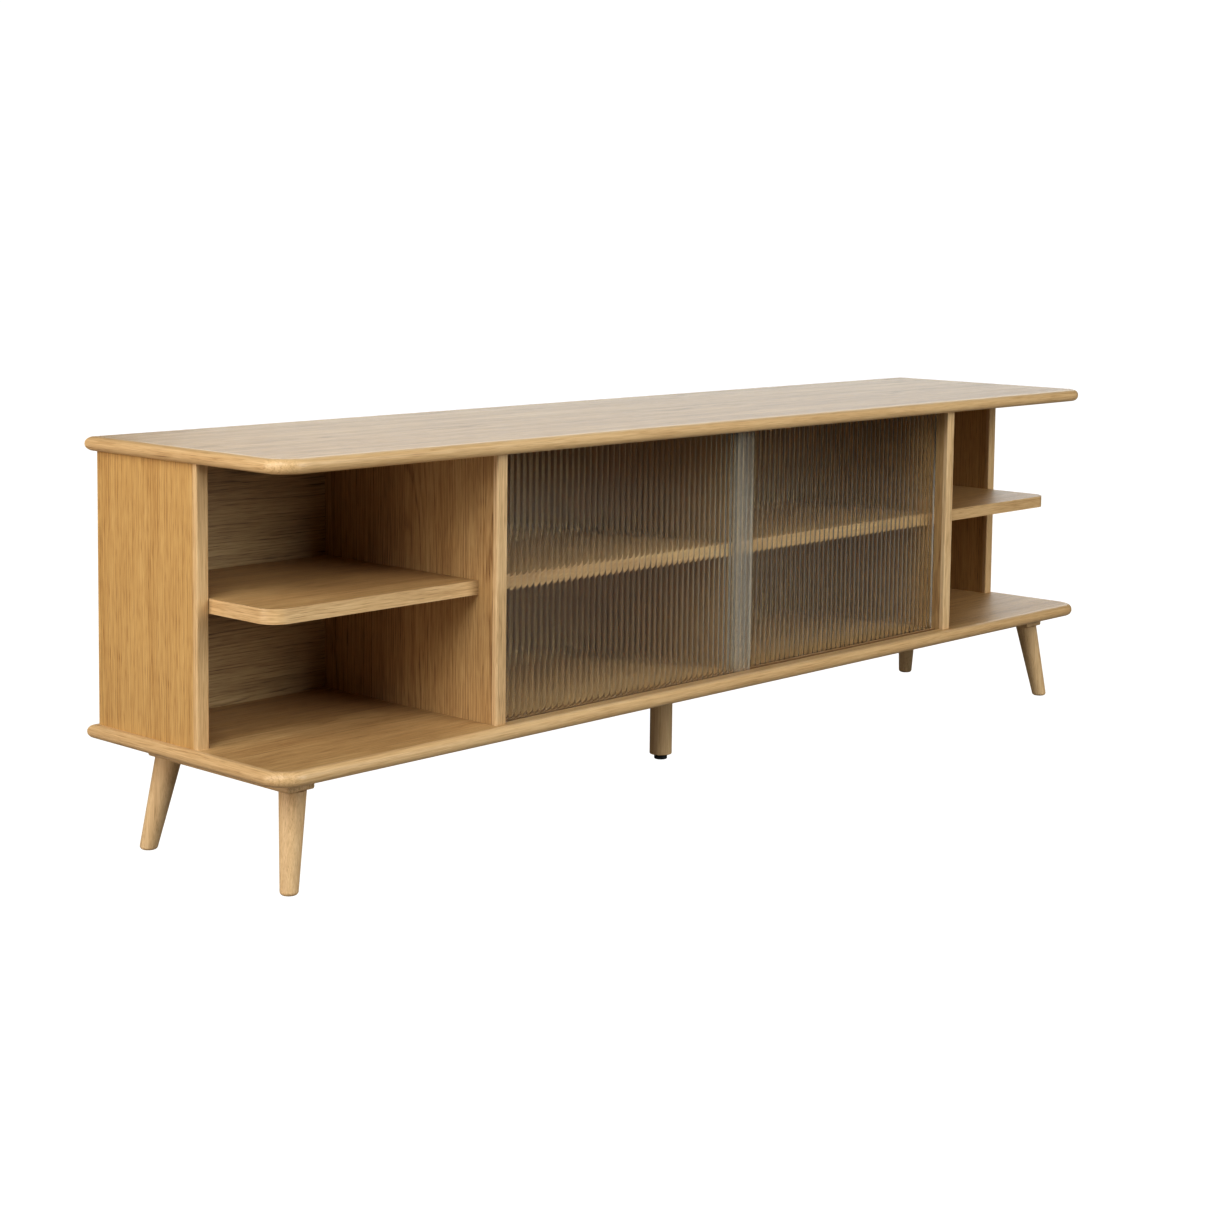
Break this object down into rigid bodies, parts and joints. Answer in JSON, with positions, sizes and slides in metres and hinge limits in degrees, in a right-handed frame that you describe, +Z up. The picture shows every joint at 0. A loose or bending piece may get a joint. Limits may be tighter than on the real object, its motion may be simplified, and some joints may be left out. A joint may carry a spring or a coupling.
{
  "type": "media cabinet",
  "caption": "Low media cabinet with open rounded end shelves and sliding ribbed glass doors between two lipped boards, on splayed tapered legs.",
  "frame": {"origin": "on the floor under the middle of the boards, midway between their ends and their front and rear edges", "axes": "+X right along the length, -Y towards the front with the doors, +Z up"},
  "size_m": [1.8, 0.4, 0.543],
  "materials": {
    "oak_veneer_long": "satin lacquered oak veneer, grain along the length",
    "oak_veneer_upright": "satin lacquered oak veneer, upright grain",
    "oak_lipping": "satin lacquered solid oak",
    "oak_back": "satin lacquered oak veneer on thin board",
    "oak_leg": "satin lacquered solid oak, turned",
    "ribbed_glass": "clear ribbed glass, polished edges",
    "runner_plastic": "matt extruded plastic",
    "glide_plastic": "matt moulded plastic",
    "zinc_steel": "zinc-plated steel",
    "nickel_pin": "nickel-plated steel",
    "brass_insert": "turned brass",
    "beech_dowel": "fluted beech dowel, unfinished"
  },
  "bodies": {
    "cabinet": {"top_panel": "oak_veneer_long", "bottom_panel": "oak_veneer_long", "left_open_shelf": "oak_veneer_long", "right_open_shelf": "oak_veneer_long", "left_inner_shelf": "oak_veneer_long", "right_inner_shelf": "oak_veneer_long", "left_side_panel": "oak_veneer_upright", "right_side_panel": "oak_veneer_upright", "left_divider": "oak_veneer_upright", "right_divider": "oak_veneer_upright", "centre_partition": "oak_veneer_upright", "top_front_lipping": "oak_lipping", "top_rear_lipping": "oak_lipping", "top_left_lipping": "oak_lipping", "top_right_lipping": "oak_lipping", "bottom_front_lipping": "oak_lipping", "bottom_rear_lipping": "oak_lipping", "bottom_left_lipping": "oak_lipping", "bottom_right_lipping": "oak_lipping", "left_side_edge": "oak_lipping", "right_side_edge": "oak_lipping", "left_divider_edge": "oak_lipping", "right_divider_edge": "oak_lipping", "centre_partition_edge": "oak_lipping", "left_shelf_band": "oak_lipping", "right_shelf_band": "oak_lipping", "left_inner_shelf_edge": "oak_lipping", "right_inner_shelf_edge": "oak_lipping", "left_back": "oak_back", "centre_back": "oak_back", "right_back": "oak_back", "front_left_leg": "oak_leg", "rear_left_leg": "oak_leg", "front_right_leg": "oak_leg", "rear_right_leg": "oak_leg", "centre_leg": "oak_leg", "left_leg_rail": "oak_leg", "right_leg_rail": "oak_leg", "bottom_front_track": "runner_plastic", "bottom_rear_track": "runner_plastic", "top_front_track": "runner_plastic", "top_rear_track": "runner_plastic", "leg_bolts": "zinc_steel", "rail_screws": "zinc_steel", "joint_screws": "zinc_steel", "shelf_pins": "nickel_pin", "glide_insert": "brass_insert", "wood_dowels": "beech_dowel", "shelf_dowels": "beech_dowel"},
    "left_door": {"left_door": "ribbed_glass"},
    "right_door": {"right_door": "ribbed_glass"},
    "levelling_glide": {"centre_glide": "glide_plastic", "glide_stud": "zinc_steel"}
  },
  "joints": [
    {"name": "left_door_slide", "type": "slide", "parent": "cabinet", "child": "left_door", "axis": [1, 0, 0], "range_m": [0, 0.488]},
    {"name": "right_door_slide", "type": "slide", "parent": "cabinet", "child": "right_door", "axis": [1, 0, 0], "range_m": [-0.488, 0]},
    {"name": "glide_height", "type": "slide", "parent": "cabinet", "child": "levelling_glide", "axis": [0, 0, 1], "range_m": [-0.008, 0.0015]}
  ]
}
